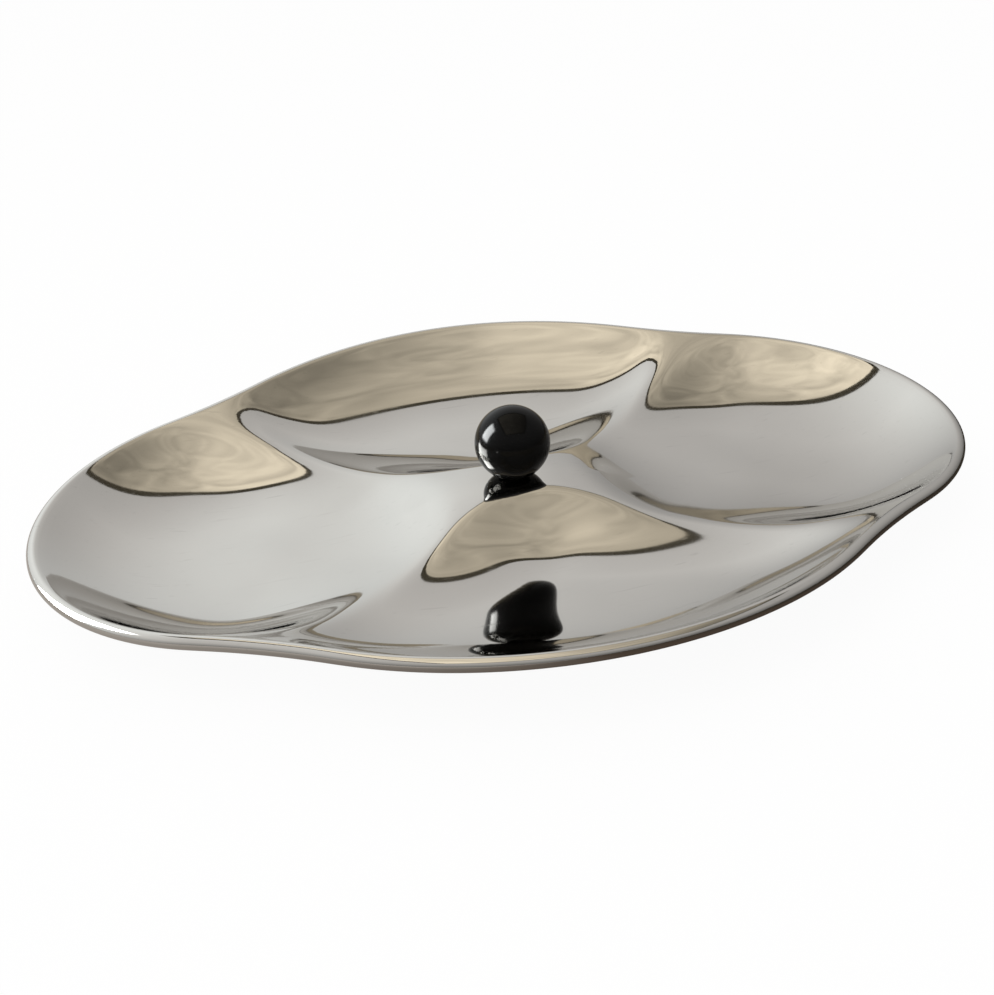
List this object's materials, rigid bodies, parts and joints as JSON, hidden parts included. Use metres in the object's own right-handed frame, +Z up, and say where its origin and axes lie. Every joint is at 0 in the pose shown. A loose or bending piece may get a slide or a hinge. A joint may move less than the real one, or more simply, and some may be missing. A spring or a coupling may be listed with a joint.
{
  "type": "serving dish",
  "caption": "Pressed steel serving dish with lobed shallow basins parted by soft ridges, a rolled edge and a black ball knob on the raised hub in the middle.",
  "frame": {"origin": "on the table plane under the middle of the hub and the knob", "axes": "+X along the long axis through the two end basins, +Y through the two side basins, +Z up"},
  "size_m": [0.3698, 0.2788, 0.0462],
  "materials": {
    "polished_steel": "mirror-polished stainless steel",
    "gloss_black": "moulded gloss black",
    "brass": "turned",
    "plated_steel": "zinc plated"
  },
  "bodies": {
    "root": {"dish": "polished_steel", "knob_ball": "gloss_black", "knob_insert": "brass", "knob_screw": "plated_steel", "screw_washer": "plated_steel"}
  },
  "joints": []
}
